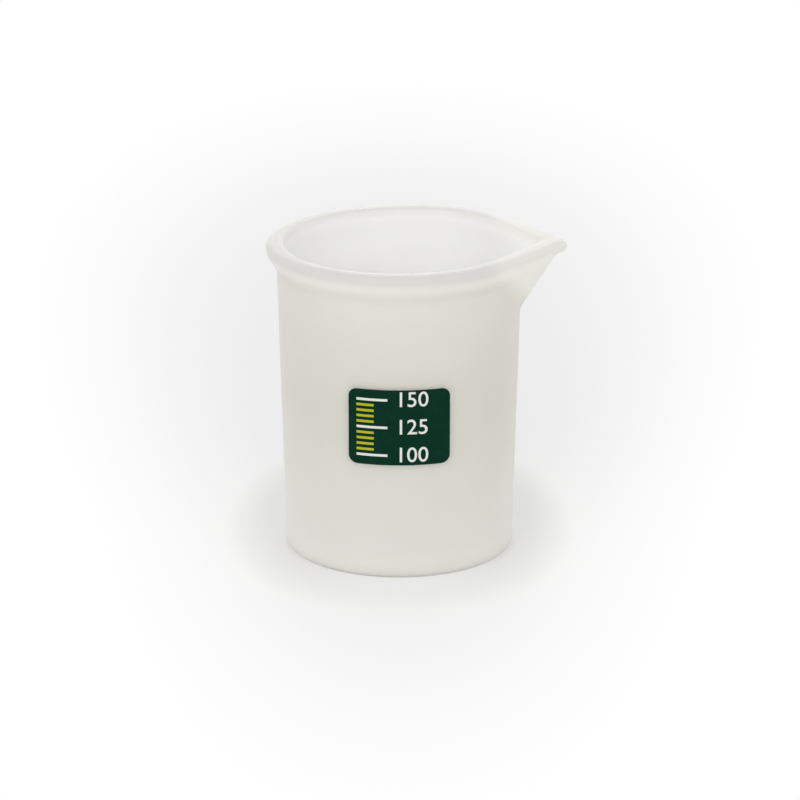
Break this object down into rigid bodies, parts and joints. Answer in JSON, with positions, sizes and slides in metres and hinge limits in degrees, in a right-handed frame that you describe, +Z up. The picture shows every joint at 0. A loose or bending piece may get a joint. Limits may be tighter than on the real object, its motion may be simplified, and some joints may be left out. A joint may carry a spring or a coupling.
{
  "type": "silicone mixing cup",
  "caption": "Soft round mixing cup with a tapered wall, flared rolled lip and V pouring spout, a raised fill scale behind and a printed fill gauge in front.",
  "frame": {"origin": "on the cup's axis, at the centre of the flat face that it stands on", "axes": "+Z up along the cup's axis, the spout points along +X, the printed front faces -Y and the raised scale is on the +Y side"},
  "size_m": [0.0849, 0.075, 0.09],
  "materials": {
    "silicone": "milky translucent, satin as moulded",
    "green_ink": "flat screen ink, dark green",
    "white_ink": "flat screen ink, white",
    "yellow_ink": "flat screen ink, yellow"
  },
  "bodies": {
    "root": {"silicone_cup": "silicone", "green_panel": "green_ink", "white_lines": "white_ink", "yellow_lines": "yellow_ink"}
  },
  "joints": []
}
